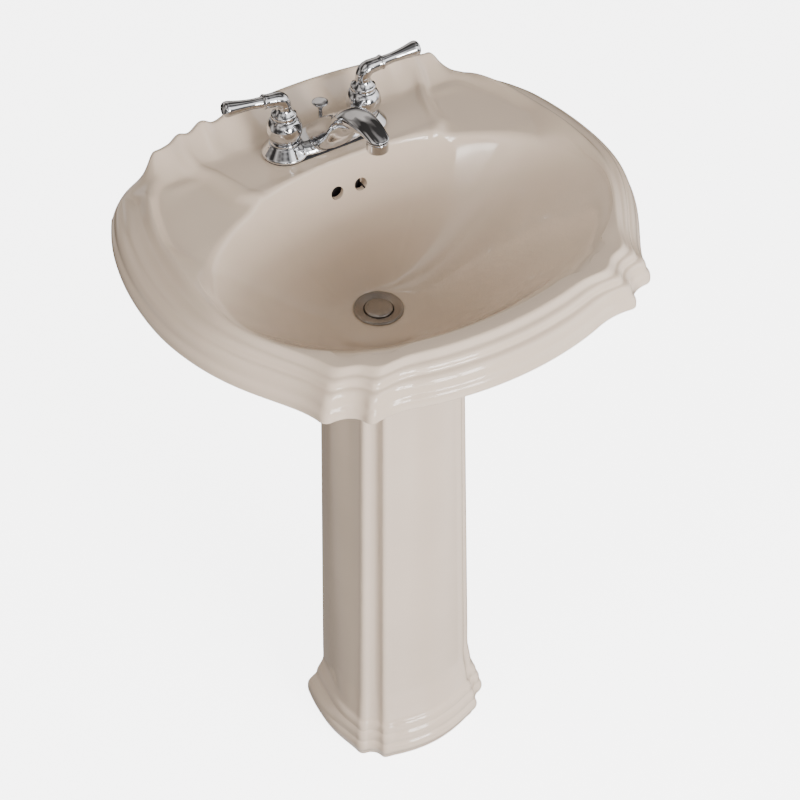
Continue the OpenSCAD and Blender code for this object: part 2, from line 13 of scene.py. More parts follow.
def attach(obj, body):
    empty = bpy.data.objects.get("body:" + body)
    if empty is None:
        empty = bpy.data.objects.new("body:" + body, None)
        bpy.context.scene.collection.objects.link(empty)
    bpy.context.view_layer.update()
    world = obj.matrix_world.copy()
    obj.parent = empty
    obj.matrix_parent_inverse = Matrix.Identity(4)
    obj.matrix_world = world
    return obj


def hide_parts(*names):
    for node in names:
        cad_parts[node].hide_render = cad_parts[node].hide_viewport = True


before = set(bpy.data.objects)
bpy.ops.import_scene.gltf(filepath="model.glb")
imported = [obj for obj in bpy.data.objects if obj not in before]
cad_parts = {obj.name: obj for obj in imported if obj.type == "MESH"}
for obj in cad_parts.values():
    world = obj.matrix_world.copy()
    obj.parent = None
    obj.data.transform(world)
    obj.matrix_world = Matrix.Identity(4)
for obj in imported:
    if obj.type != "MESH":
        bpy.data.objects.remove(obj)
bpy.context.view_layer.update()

FRAME_Y = 46.0  # the part's frame lies 46 mm nearer the front than the drain's axis
# heights of the rim's lower edge, the faucet deck, the soap dishes, the front lip and the bowl's bottom
RIM_Z, DECK_Z, DISH_Z, LIP_Z, DRAIN_Z = 773.0, 835.0, 826.0, 815.5, 664.0
WALL_Y, HANDLE_X, HANDLE_Y = 178.0, 50.8, 112.6
BODY_Z = 836.5  # the faucet body stands this high, on its gasket


# ---------- helpers ----------

def place(points):
    """Millimetres in the drain's frame to metres in the part's frame."""
    p = np.asarray(points, float)
    return (p + [0, FRAME_Y, 0]) / 1000


def smooth(t):
    """0 up to t = 0, 1 from t = 1 on, and an even S between them."""
    t = np.clip(t, 0, 1)
    return t * t * (3 - 2 * t)


def mix(a, b, t):
    return a + (b - a) * t


def bump(t):
    """A smooth hill: 1 at t = 0 and 0 from t = 1 on both sides."""
    return np.where(np.abs(t) < 1, np.cos(np.pi / 2 * np.clip(t, -1, 1)) ** 2, 0)


def smin(a, b, k):
    """The lower of two heights, rounded over where they come within k of each other."""
    h = np.maximum(k - np.abs(a - b), 0)
    return np.minimum(a, b) - h * h / (4 * k)


def smax(a, b, k):
    return -smin(-a, -b, k)


def bezier(p, n):
    """n points of a cubic curve without its last one."""
    t = np.linspace(0, 1, n, endpoint=False)[:, None]
    p = np.array(p, float)
    u = 1 - t
    return u ** 3 * p[0] + 3 * u * u * t * p[1] + 3 * u * t * t * p[2] + t ** 3 * p[3]


def closed_object(name, points, faces):
    """A closed mesh with its faces outwards."""
    mesh = bpy.data.meshes.new(name)
    mesh.from_pydata([tuple(p) for p in place(points)], [], [tuple(int(i) for i in f) for f in faces])
    mesh.update()
    bm = bmesh.new()
    bm.from_mesh(mesh)
    bmesh.ops.remove_doubles(bm, verts=bm.verts, dist=1e-6)
    bmesh.ops.dissolve_degenerate(bm, edges=bm.edges, dist=1e-7)
    bmesh.ops.recalc_face_normals(bm, faces=bm.faces)
    if bm.calc_volume(signed=True) < 0:
        bmesh.ops.reverse_faces(bm, faces=bm.faces)
    bm.to_mesh(mesh)
    bm.free()
    obj = bpy.data.objects.new(name, mesh)
    bpy.context.collection.objects.link(obj)
    return obj


def mesh_object(name, points, faces, body, material, angle=None):
    """A piece that rides the body; edges sharper than the angle stay sharp."""
    obj = closed_object(name, points, faces)
    finish_piece(obj, body, material, angle)
    return obj


def finish_piece(obj, body, material, angle=None):
    """Shades the piece, gives it its material and lets it ride the body."""
    obj.data.polygons.foreach_set("use_smooth", [True] * len(obj.data.polygons))
    if angle is not None:
        obj.data.set_sharp_from_angle(angle=math.radians(angle))
    obj.data.materials.clear()
    obj.data.materials.append(material)
    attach(obj, body)


def bake_modifiers(obj):
    """Replaces the object's mesh by what its modifiers make of it."""
    bpy.context.view_layer.update()
    graph = bpy.context.evaluated_depsgraph_get()
    new = bpy.data.meshes.new_from_object(obj.evaluated_get(graph))
    obj.modifiers.clear()
    old = obj.data
    obj.data = new
    bpy.data.meshes.remove(old)


def loft(loops, capped=False):
    """Points and faces through closed loops of equal length, with both ends closed if capped."""
    n, m = len(loops[0]), len(loops)
    points = np.vstack(loops)
    faces = [(j * n + k, j * n + (k + 1) % n, (j + 1) * n + (k + 1) % n, (j + 1) * n + k)
             for j in range(m - 1) for k in range(n)]
    if capped:
        faces.append(tuple(range(n - 1, -1, -1)))
        faces.append(tuple((m - 1) * n + k for k in range(n)))
    return points, faces


def lathe(profile, at, n=96, tilt=None):
    """Points and faces of a profile [[r, z], ...] turned round Z, with 0 radius ends closed."""
    a = np.linspace(0, 2 * np.pi, n, endpoint=False)
    loops = [np.c_[r * np.cos(a), r * np.sin(a), np.full(n, z)] for r, z in profile]
    points, faces = loft(loops)
    if tilt is not None:
        points = points @ np.array(tilt.to_3x3()).T
    return points + np.array(at, float), faces


def rounded(profile, r, steps=4):
    """The same profile with its corners rounded by r; its two ends stay."""
    p = np.array(profile, float)
    out = [p[0]]
    for before, q, after in zip(p, p[1:], p[2:]):
        a, b = before - q, after - q
        la, lb = np.linalg.norm(a), np.linalg.norm(b)
        d = min(r, la * 0.45, lb * 0.45)
        s, e = q + a / la * d, q + b / lb * d
        for t in np.linspace(0, 1, steps + 1):
            out.append((1 - t) ** 2 * s + 2 * t * (1 - t) * q + t * t * e)
    out.append(p[-1])
    return np.array(out)


def join_parts(parts):
    """One set of points and faces from several."""
    points, faces, base = [], [], 0
    for p, f in parts:
        points.append(p)
        faces += [tuple(i + base for i in g) for g in f]
        base += len(p)
    return np.vstack(points), faces


# ---------- materials ----------

def new_material(name, color, roughness, metallic=0.0):
    """A material, its node tree and its shader."""
    m = bpy.data.materials.new(name)
    m.use_nodes = True
    nt = m.node_tree
    b = nt.nodes["Principled BSDF"]
    b.inputs["Base Color"].default_value = (*color, 1)
    b.inputs["Roughness"].default_value = roughness
    b.inputs["Metallic"].default_value = metallic
    return m, nt, b


def tex_noise(nt, scale, detail, rough=0.5, vector=None):
    """A noise's value, in the object's own space unless a vector is given."""
    n = nt.nodes.new("ShaderNodeTexNoise")
    n.inputs["Scale"].default_value = scale
    n.inputs["Detail"].default_value = detail
    n.inputs["Roughness"].default_value = rough
    if vector is None:
        vector = nt.nodes.new("ShaderNodeTexCoord").outputs["Object"]
    nt.links.new(vector, n.inputs["Vector"])
    return n.outputs["Fac"]


def ramp(nt, fac, stops):
    """A colour for each value; a stop is a place from 0 to 1 and its colour."""
    r = nt.nodes.new("ShaderNodeValToRGB")
    e = r.color_ramp.elements
    while len(e) < len(stops):
        e.new(0.5)
    for el, (pos, col) in zip(e, stops):
        el.position = pos
        el.color = (*col, 1)
    nt.links.new(fac, r.inputs["Fac"])
    return r.outputs["Color"]


def remap(nt, fac, low, high, out_low, out_high):
    """The value stretched from the range low..high to out_low..out_high."""
    n = nt.nodes.new("ShaderNodeMapRange")
    for key, v in (("From Min", low), ("From Max", high), ("To Min", out_low), ("To Max", out_high)):
        n.inputs[key].default_value = v
    nt.links.new(fac, n.inputs["Value"])
    return n.outputs["Result"]


def add_bump(nt, bsdf, height, strength, distance):
    n = nt.nodes.new("ShaderNodeBump")
    n.inputs["Strength"].default_value = strength
    n.inputs["Distance"].default_value = distance
    nt.links.new(height, n.inputs["Height"])
    nt.links.new(n.outputs["Normal"], bsdf.inputs["Normal"])


def lighten(c, k):
    return tuple(min(1, v * k) for v in c)


def vary_color(nt, bsdf, fac, color, dark, light, end=0.75):
    """Lets a noise darken and lighten the colour a little."""
    stops = [(0.3, lighten(color, dark)), (end, lighten(color, light))]
    nt.links.new(ramp(nt, fac, stops), bsdf.inputs["Base Color"])


def vary_roughness(nt, bsdf, fac, low, high, start=0.3):
    nt.links.new(remap(nt, fac, start, 0.7, low, high), bsdf.inputs["Roughness"])


def make_china():
    base = (0.66, 0.53, 0.407)
    m, nt, b = new_material("china_glaze", base, 0.08)
    vary_color(nt, b, tex_noise(nt, 7, 3, 0.55), base, 0.965, 1.035, 0.7)
    vary_roughness(nt, b, tex_noise(nt, 24, 4, 0.6), 0.06, 0.12)
    b.inputs["IOR"].default_value = 1.52
    b.inputs["Coat Weight"].default_value = 0.35
    b.inputs["Coat Roughness"].default_value = 0.03
    add_bump(nt, b, tex_noise(nt, 60, 2, 0.5), 0.05, 0.0006)
    return m


def make_chrome():
    tint = (0.70, 0.705, 0.72)
    m, nt, b = new_material("chrome_plate", tint, 0.05, 1.0)
    spots = tex_noise(nt, 45, 4, 0.6)
    vary_roughness(nt, b, spots, 0.03, 0.08, 0.35)
    vary_color(nt, b, spots, tint, 0.97, 1.02)
    add_bump(nt, b, tex_noise(nt, 90, 2), 0.02, 0.0003)
    return m


def make_satin(name, tint, low, high, stretch=(1, 1, 14)):
    """Metal with a fine grain that runs round Z, as turning leaves it, unless stretch says otherwise."""
    m, nt, b = new_material(name, tint, 0.35, 1.0)
    coord = nt.nodes.new("ShaderNodeTexCoord")
    mapping = nt.nodes.new("ShaderNodeMapping")
    mapping.inputs["Scale"].default_value = stretch
    nt.links.new(coord.outputs["Object"], mapping.inputs["Vector"])
    grain = tex_noise(nt, 160, 3, 0.6, mapping.outputs["Vector"])
    vary_roughness(nt, b, grain, low, high)
    vary_color(nt, b, tex_noise(nt, 60, 4), tint, 0.9, 1.06)
    add_bump(nt, b, grain, 0.08, 0.0002)
    return m


def make_soft(name, color, roughness, grain_scale=220, bump_size=0.0002):
    """Rubber, putty, plastic, and the near-black painted shade inside the overflow passage."""
    m, nt, b = new_material(name, color, roughness)
    n = tex_noise(nt, grain_scale, 3, 0.6)
    vary_color(nt, b, n, color, 0.85, 1.12)
    vary_roughness(nt, b, n, roughness - 0.06, roughness + 0.06)
    add_bump(nt, b, n, 0.12, bump_size)
    return m


china = make_china()
chrome = make_chrome()
steel = make_satin("steel_satin", (0.52, 0.53, 0.55), 0.22, 0.4)
drain_metal = make_satin("drain_satin", (0.42, 0.40, 0.375), 0.28, 0.42, (1, 1, 1))
brass = make_satin("brass_satin", (0.70, 0.50, 0.22), 0.2, 0.38)
rubber = make_soft("rubber_black", (0.025, 0.025, 0.027), 0.6)
putty = make_soft("putty_grey", (0.2, 0.185, 0.165), 0.65)
# near-black painted shade for the inside of the overflow passage, standing in for the shade there
painted_passage_shade = make_soft("passage_painted_shade", (0.035, 0.03, 0.027), 0.8, 90, 0.0004)
plastic = make_soft("plastic_white", (0.72, 0.70, 0.65), 0.4)

CAD_LOOKS = {
    "faucet_gasket": rubber, "aerator_screen": steel, "hot_cartridge": brass, "cold_cartridge": brass,
    "hot_stem": brass, "cold_stem": brass, "hot_set_screw": steel, "cold_set_screw": steel,
    "hot_shank": brass, "cold_shank": brass, "shank_washers": steel, "shank_nuts": brass,
    "lift_rod": chrome, "flange_seal": putty, "stopper_seal": rubber, "drain_body": drain_metal,
    "drain_gasket": rubber, "drain_washer": plastic, "drain_nut": drain_metal, "tailpiece": chrome,
    "pivot_rod": chrome, "pivot_seat": plastic, "pivot_nut": plastic, "clevis": steel,
    "clevis_screw": steel, "spring_clip": steel}
for node, look in CAD_LOOKS.items():
    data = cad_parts[node].data
    data.materials.clear()
    data.materials.append(look)


# ---------- basin ----------

BOWL_MID = np.array([0.0, -78.0])
BACK_X = 238.0  # half the rim's width at the wall
CREST_Z = 871.5  # top of the crest in the middle
CHINA = 13.0  # thickness of the rim's wall
FACE_KEPT, FACE_LAST = 15.5, 8.5  # the outer face's two lower steps, and its last one, which stretches
FACE_H = 40.6  # height of the outer face
BLEND = 3.0  # how far the inner moulding and the crest's wall melt together


def rim_half():
    """The rim's right half, from the middle of the front to that of the wall, denser at ear and scallops."""
    curves = [
        ([[0, -270], [45, -270], [84, -262], [110, -254]], 60),
        ([[110, -254], [124, -249], [142, -246], [159, -249]], 40),
        ([[159, -249], [165, -250], [168, -247], [169, -242]], 16),
        ([[169, -242], [172, -231], [184, -225], [197, -225]], 30),
        ([[197, -225], [203, -225], [207, -222], [208, -215]], 16),
        ([[208, -215], [220, -165], [288, -130], [288, -12]], 90),
        ([[288, -12], [288, 60], [270, 120], [BACK_X, WALL_Y]], 80)]
    pts = np.vstack([bezier(c, n) for c, n in curves])
    wall = np.c_[np.linspace(BACK_X, 0, 120), np.full(120, WALL_Y)]
    pts = np.vstack([pts, wall])
    seg = np.linalg.norm(np.diff(pts, axis=0), axis=1)
    mid = (pts[1:] + pts[:-1]) / 2
    weight = np.where((mid[:, 1] < -195) & (mid[:, 0] > 95), 2.2, 1.0)
    weight = np.where((mid[:, 1] > 177) & (mid[:, 0] > 95), 1.5, weight)
    s = np.r_[0, np.cumsum(seg * weight)]
    t = np.linspace(0, s[-1], 341)
    out = np.c_[np.interp(t, s, pts[:, 0]), np.interp(t, s, pts[:, 1])]
    corner = np.argmin(np.hypot(out[:, 0] - BACK_X, out[:, 1] - WALL_Y))
    out[corner] = [BACK_X, WALL_Y]
    return out


def edge_radius(v):
    """Distance from the bowl's middle to its edge in direction v."""
    n = np.where(v[:, 1] > 0, 2.25, 2.0)
    b = np.where(v[:, 1] > 0, 147.0, 138.0)
    return (np.abs(v[:, 0] / 232) ** n + np.abs(v[:, 1] / b) ** n) ** (-1 / n)


def lift(y):
    """How much the rim's lower edge rises from the front to the sides and sinks again at the wall."""
    return 11 * smooth((y + 210) / 150) - 10 * smooth((y - 80) / 98)


def crease_at(y):
    """Distance in from the outline where the outer face ends and the inner moulding starts."""
    return mix(24, 36, smooth((y + 160) / 220))


def arc(x0, z0, w, h, n, end):
    """n points of a quarter ellipse that starts upright at x0, z0 and stops at the share end of it."""
    t = np.linspace(0, np.pi / 2 * end, n)
    return np.c_[x0 + w * (1 - np.cos(t)), z0 + h * np.sin(t)]


def softened(curve, sigma, step=0.25):
    """The same open curve with its corners worn round; its ends stay."""
    s = np.r_[0, np.cumsum(np.linalg.norm(np.diff(curve, axis=0), axis=1))]
    t = np.arange(0, s[-1] + step, step)
    p = np.c_[np.interp(t, s, curve[:, 0]), np.interp(t, s, curve[:, 1])]
    n = int(3 * sigma / step)
    padded = np.vstack([2 * p[0] - p[n:0:-1], p, 2 * p[-1] - p[-2:-n - 2:-1]])
    w = np.exp(-0.5 * (np.arange(-n, n + 1) * step / sigma) ** 2)
    w /= w.sum()
    return np.c_[np.convolve(padded[:, 0], w, "valid"), np.convolve(padded[:, 1], w, "valid")]


def along_curve(curve, n):
    """n points evenly along the curve."""
    s = np.r_[0, np.cumsum(np.linalg.norm(np.diff(curve, axis=0), axis=1))]
    t = np.linspace(0, s[-1], n)
    return np.c_[np.interp(t, s, curve[:, 0]), np.interp(t, s, curve[:, 1])]


# Mouldings of the rim's outer face: distance in from the outline, height
FASCIA = along_curve(softened(np.vstack([
    [[0, 1.5], [0, 3.5]],
    arc(0, 4, 4.4, 10.2, 8, 0.9), [[4.9, 14.6]],
    arc(5.2, 15.4, 9.6, 15.6, 11, 0.97), [[15.2, 30.6], [16.0, 30.7]],
    arc(16.2, 31.4, 6.6, 8.8, 7, 0.95), [[23.0, 40.2], [24.0, FACE_H]]]), 1.9), 34)


def fascia_z(d, crease):
    """Height of the outer face d in from the outline."""
    k = np.where(d < FACE_KEPT, d, FACE_KEPT + (d - FACE_KEPT) * FACE_LAST / (crease - FACE_KEPT))
    return np.interp(k, *FASCIA.T)


def fascia_d(row, crease):
    """Distance in of a row of FASCIA, its last step stretched to end at the crease."""
    return np.where(row < FACE_KEPT, row, FACE_KEPT + (row - FACE_KEPT) * (crease - FACE_KEPT) / FACE_LAST)


def crest_top(x):
    """Height of the crest's top without its waves."""
    return CREST_Z - 27 * (x / 190) ** 2


def scallops(x):
    """Waves in the crest's top beside the faucet."""
    a = np.abs(x)
    return (6.5 * bump((a - 122) / 15) + 5.5 * bump((a - 150) / 13) - 3 * bump((a - 103) / 14)
            + 2 * bump((a - 182) / 12))


def roll_top(y):
    """Height of the inner moulding's back, rising towards the wall."""
    return RIM_Z + lift(y) + 48 + 7 * smooth((y + 120) / 120) + 16 * np.clip((y - 30) / 148, 0, 1) ** 1.5


def inner_z(x, y):
    """Lip in front, soap dishes at the sides, faucet deck behind, with soft ridges between them."""
    a = np.abs(x)
    back = smooth((y + 60) / 90)
    # signed distance past the ridge between the deck and a dish, positive on the dish's side
    ridge_x = np.interp(y, [40, 56, 74, 98, 120, 140, 178], [112, 118, 131, 136, 142, 152, 165])
    s = a - ridge_x
    deck = DECK_Z - 0.8 + 2.8 * bump((s + 6) / 10)
    # the deck falls a little over its last stretch before the bowl
    deck = deck + 0.9 * bump((y - 66) / 12) - 1.5 * smooth((66 - y) / 14)
    dish = DISH_Z - 0.6 * smooth((s - 10) / 20)
    shelf = mix(deck, dish, smooth((s + 2) / 12)) + 2.2 * bump((y - 128) / 12) * smooth((s - 2) / 14)
    return mix(LIP_Z, shelf, back)


def top_z(x, y, d, reach):
    """Height of the upper side at x, y, d in from the outline, where the bowl's edge is reach in from it."""
    crease = crease_at(y)
    # in front the moulding runs straight into the bowl's edge; at the sides it ends before it
    roll_end = mix(reach + 14, np.minimum(60, reach - 4), smooth((y + 40) / 90))
    inner = inner_z(x, y)
    w = roll_end - crease
    t = (d - crease) / w
    # inner moulding: a round back, then a slope down to a fine groove and bead at its foot
    roll = inner + (roll_top(y) - inner) * np.cos(np.pi / 2 * np.clip(t, 0, 1)) ** 1.4
    side = smooth((y + 5) / 70) * (1 - smooth((y - 120) / 30))
    roll = roll + side * (-0.6 * bump((t - 1.0) / 0.1) + 0.4 * bump((t - 1.17) / 0.12))
    cove = np.clip((y - 130) / 41, 0, 1) ** 1.7
    wall = mix(inner, crest_top(x), cove) + scallops(x) * np.clip((y - 138) / 34, 0, 1) ** 0.9
    # the crest's top edge at the wall is rounded
    r = 6.0
    q = np.clip(r - (WALL_Y - y), 0, r)
    wall = wall - (r - np.sqrt(np.maximum(r * r - q * q, 0))) * 0.9
    upper = smax(roll, wall, BLEND)
    up = smooth((d - crease + 1) / mix(9, 15, smooth((y + 200) / 150)))
    low = fascia_z(d, crease) + RIM_Z + lift(y)
    return np.where(d < crease, low, mix(RIM_Z + FACE_H + lift(y), upper, up))


# one column of the basin's mesh per point of the outline, running in towards the bowl's edge
half = rim_half()
rim = np.vstack([half, (half[1:-1] * [-1, 1])[::-1]])
columns = len(rim)
on_wall = (rim[:, 1] > WALL_Y - 0.01)
away = rim - BOWL_MID
way = away / np.linalg.norm(away, axis=1)[:, None]
edge = BOWL_MID + way * edge_radius(way)[:, None]
reach = np.linalg.norm(edge - rim, axis=1)
inward = (edge - rim) / reach[:, None]


def worn_outline(sigma):
    """The rim's outline with its ears worn down, as an offset from the rim; none on the wall side."""
    out = rim.copy()
    for _ in range(int(2 * sigma * sigma)):
        out = 0.5 * out + 0.25 * (np.roll(out, 1, 0) + np.roll(out, -1, 0))
    return (out - rim) * smooth((-rim[:, 1] - 60) / 80)[:, None]


worn = worn_outline(7.0)


def column_point(d):
    """Plan position d mm in from the rim on every column; d is an array, one value per column."""
    share = smooth(d / 34) * (1 - smooth((d - 34) / np.maximum(reach - 34, 1)))
    return rim + inward * d[:, None] + worn * share[:, None]


def depth_of(q, d):
    """The depth that shapes the height: d itself, but on the wall's columns the distance from the corner."""
    corner = (BACK_X - np.abs(q[:, 0])) * 0.87 + (WALL_Y - q[:, 1]) * 0.49
    return np.where(on_wall, corner, d)


def surface_z(q, d):
    """Height of the upper side on every column at plan position q, d in from the rim."""
    return top_z(q[:, 0], q[:, 1], depth_of(q, d), np.where(on_wall, 200.0, reach))


HOLE_R = 20.0
SEAT_FLAT = 9.0  # flat stretch round the drain's hole, where the flange sits
drain_point = way * HOLE_R
run = np.linalg.norm(edge - drain_point, axis=1)
edge_height = surface_z(edge, reach)
# the bowl's roundness by direction: small is a straight slope, large a wide curve
bowl_c = mix(0.5, 0.22, smooth((way[:, 1] + 0.9) / 1.6))
lip_round = mix(18, 9, smooth((way[:, 1] + 0.9) / 1.0))


def bowl_z(t):
    """Height of the bowl's wall, t = 0 at the drain and 1 at its edge; it goes on above the edge."""
    t = np.maximum(t * run - SEAT_FLAT, 0) / (run - SEAT_FLAT)
    f = (np.sqrt(t * t + bowl_c * bowl_c) - bowl_c) / (np.sqrt(1 + bowl_c * bowl_c) - bowl_c)
    return DRAIN_Z + (edge_height - DRAIN_Z) * f


def top_loops():
    """From the rim's lower edge over the mouldings and the shelf down to the drain's hole."""
    loops = []
    crease = crease_at(rim[:, 1])
    foot = np.minimum(mix(50, 60, smooth((rim[:, 1] + 60) / 90)), reach - 4)
    # outer face; the columns on the wall spread the same rows over a short stretch
    for (row, height), share in zip(FASCIA, np.linspace(0, 0.06, len(FASCIA))):
        d = np.where(on_wall, share * reach, fascia_d(row, crease))
        q = column_point(d)
        z = np.where(on_wall, surface_z(q, d + 1e-4), RIM_Z + lift(q[:, 1]) + height)
        loops.append(np.c_[q, z])
    # inner moulding
    for t in np.linspace(0, 1, 19)[1:]:
        d = np.where(on_wall, mix(0.06, 0.34, t) * reach, mix(crease, foot, t))
        q = column_point(d)
        loops.append(np.c_[q, surface_z(q, d)])
    # shelf between the inner moulding and the bowl's edge, rounded over the edge
    for t in np.linspace(0, 1, 27)[1:]:
        u = t ** 0.8
        d = np.where(on_wall, mix(0.34, 1, u) * reach, mix(foot, reach, u))
        q = column_point(d)
        out = reach - d
        z = surface_z(q, d)
        loops.append(np.c_[q, smin(z, bowl_z(1 + out / run), lip_round)])
    # the bowl, with closer rows next to its edge
    for w in np.r_[np.linspace(0, 0.14, 12)[1:], np.linspace(0.14, 1, 40)[1:]]:
        q = mix(edge, drain_point, w)
        flat = edge_height - 6.0 * w
        z = smin(flat, bowl_z(np.full(columns, 1 - w)), lip_round)
        loops.append(np.c_[q, z])
    return loops


def under_loops():
    """From the drain's hole under the bowl and back to the rim's lower edge."""
    loops = []
    for r, z in ((HOLE_R, DRAIN_Z - 1.5), (HOLE_R, 652.0), (40, 652.0), (43, 653), (44, 660)):
        loops.append(np.c_[way * r, np.full(columns, z)])
    # outside of the bowl, from its seat on the pedestal up to the rim
    back = smooth(way[:, 1])
    seat_y = np.where(way[:, 1] > 0, 70.0, 118.0)
    seat = way / np.sqrt((way[:, 0] / 84) ** 2 + (way[:, 1] / seat_y) ** 2)[:, None]
    outer = edge + way * (9 + 8 * back)[:, None]
    steep = mix(1.3, 1.1, back)
    for w in np.linspace(1, 0, 26):
        loops.append(np.c_[mix(outer, seat, w), 660 + (edge_height - 15 - 660) * (1 - w) ** steep])
    # underside of the rim, one wall below its upper side
    for f in np.linspace(1, 0, 16):
        d = mix(17.0, reach - 12, f)
        q = column_point(d)
        loops.append(np.c_[q, surface_z(q, d) - CHINA])
    low = RIM_Z + lift(rim[:, 1])
    last = loops[-1][:, 2]
    for d, z in ((13.0, mix(low, last, 0.4)), (11.0, low + 1.5), (9.5, low), (1.2, low), (0.3, low + 0.5)):
        loops.append(np.c_[column_point(np.full(columns, d)), z])
    loops.append(np.c_[rim, low + 1.1])
    return loops


def cut_with(obj, cutters):
    """Cuts closed solids given as (points, faces) out of obj."""
    points, faces = join_parts(cutters)
    cutter = closed_object("cutter", points, faces)
    mod = obj.modifiers.new("cut", "BOOLEAN")
    mod.operation = "DIFFERENCE"
    mod.solver = "EXACT"
    mod.object = cutter
    bake_modifiers(obj)
    bpy.data.objects.remove(cutter)


def rod(r, a, b, n=48):
    """Closed cylinder from a to b."""
    a, b = Vector(a), Vector(b)
    rot = (b - a).to_track_quat("Z", "Y").to_matrix().to_4x4()
    length = (b - a).length
    return lathe([[0, 0], [r, 0], [r, length], [0, length]], a, n, rot)


def eased_corner(loops):
    """Lets the mouldings run out softly where the rim meets the wall."""
    grid = np.array(loops)
    near = np.hypot(np.abs(rim[:, 0]) - (BACK_X - 2), rim[:, 1] - (WALL_Y - 6))
    share = (1 - smooth((near - 18) / 40))[None, :, None] * 0.5
    for _ in range(50):
        side = (np.roll(grid, 1, 1) + np.roll(grid, -1, 1)) / 2
        grid = grid + share * (side - grid)
    return list(grid)


top = eased_corner(top_loops())
under = under_loops()
points, faces = loft(top + under + [top[0]])
basin = mesh_object("basin_china", points, faces, "sink", china)
holes = [rod(6.5, (x, WALL_Y + 3, 797), (x, WALL_Y - 30, 797)) for x in (-101.6, 101.6)]
holes += [rod(15.9, (x, HANDLE_Y, 850), (x, HANDLE_Y, 800)) for x in (-HANDLE_X, 0, HANDLE_X)]
holes += [rod(7.8, (x, 40, 797), (x, 71, 797)) for x in (-15.3, 15.3)]
cut_with(basin, holes + [rod(22.25, (0, 0, 700), (0, 0, 640), 96)])
# overflow passage: y, z of its section down inside the bowl's back wall
passage = np.array([[66, 806], [76, 806], [72.4, 755], [64.2, 755], [66, 775]])
cut_with(basin, [loft([np.c_[np.full(5, x), passage] for x in (-20, 20)], capped=True)])

# the passage's inside gets a near-black painted shade so the holes look dark, and the flat back keeps its
# shading flat
basin.data.materials.append(painted_passage_shade)
basin.data.set_sharp_from_angle(angle=math.radians(50))
for face in basin.data.polygons:
    c = face.center * 1000
    # faces inside the overflow passage get the painted shade
    if abs(c.x) < 20.5 and 63.8 < c.y - FRAME_Y < 76.5 and 754 < c.z < 807:
        face.material_index = 1
    if c.y - FRAME_Y > WALL_Y - 0.05 and face.normal.y > 0.99:
        face.use_smooth = False
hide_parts("basin")


# ---------- pedestal ----------

def foot_outline():
    """The foot's outline from the open back's left end round the front to its right end."""
    curves = [
        ([[0, -139], [22, -139], [42, -134], [57, -129]], 22),
        ([[57, -129], [64, -127], [71, -127], [72, -121]], 14),
        ([[72, -121], [73, -113], [80, -107], [87, -106]], 16),
        ([[87, -106], [92, -105], [95, -101], [95, -95]], 12),
        ([[95, -95], [98, -78], [105, -60], [105, -34]], 20),
        ([[105, -34], [105, -15], [102, 0], [99, 15]], 16)]
    half = np.vstack([bezier(c, n) for c, n in curves] + [[[99, 15]]])
    left = (half[1:] * [-1, 1])[::-1]
    return np.vstack([left, half])


# Height and distance in from the foot's outline, on the front and on the sides
FOOT_FRONT = np.array([
    [0, 1.6], [1.5, 0.4], [4, 0], [8, -0.6], [11, -2.2], [13.5, -4.2], [17, -5.7], [21, -6.3], [25, -5.9],
    [28, -4.4], [29.8, -2.5], [31, -1.7], [33, -1.9], [37, -2.1], [41, -1.6], [44, -0.2], [46, 2.0],
    [47.2, 3.0], [49, 2.9], [52.5, 2.9], [56, 3.7], [58.5, 5.4], [60.4, 7.6], [62, 9.0], [64.5, 9.9],
    [70, 10.6], [78, 11.6], [88, 13.2], [96, 14.6], [104, 16], [116, 16.8]])
FOOT_SIDE = np.array([
    [0, 1.9], [1.5, 0.5], [4, 0], [10, -1.8], [14, -3.8], [19, -4.6], [25, -4.7], [31, -4.5],
    [36, -3.4], [40, -0.6], [44, 3.6], [46.5, 6.6], [48.5, 8.4], [51, 8.9], [55, 9.8], [60, 11.8],
    [66, 15.2], [71, 17.6], [76, 18.8], [82, 19], [96, 19], [116, 19.3]])
PEDESTAL_TOP, FLARE_Z, PEDESTAL_WALL = 660, 104, 15


def pedestal_shape():
    """Points and faces of the hollow shell, open at the back."""
    foot = foot_outline()
    length = np.linalg.norm(foot, axis=1)[:, None]
    z_up = np.linspace(116, PEDESTAL_TOP, 24)[1:]
    span = (z_up - FLARE_Z) / (PEDESTAL_TOP - FLARE_Z)
    column = np.c_[z_up, mix(16, 37.5, span), mix(19, 28, span)]
    z = np.unique(np.r_[FOOT_FRONT[:, 0], FOOT_SIDE[:, 0]])
    base = np.c_[z, np.interp(z, *FOOT_FRONT.T), np.interp(z, *FOOT_SIDE.T)]
    rows = np.vstack([base, column])
    back = smooth((foot[:, 1] + 80) / 60)
    outer, inner = [], []
    for z, front, side in rows:
        d = mix(front, side, back)[:, None]
        zz = np.full((len(foot), 1), z)
        outer.append(np.c_[foot * (1 - d / length), zz])
        inner.append(np.c_[foot * (1 - (d + PEDESTAL_WALL) / length), zz])
    n, m = len(foot), len(rows)
    loops = outer + inner[::-1]
    turns = len(loops)
    faces = []
    for j in range(turns):
        a, b = j * n, ((j + 1) % turns) * n
        for k in range(n - 1):
            faces.append((a + k, a + k + 1, b + k + 1, b + k))
    # end walls at the open back
    for k in (0, n - 1):
        for j in range(m - 1):
            i = turns - 1 - j
            f = (j * n + k, (j + 1) * n + k, (i - 1) * n + k, i * n + k)
            faces.append(f if k == 0 else f[::-1])
    return np.vstack(loops), faces


points, faces = pedestal_shape()
shell = mesh_object("pedestal_china", points, faces, "sink", china, angle=55)
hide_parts("pedestal")


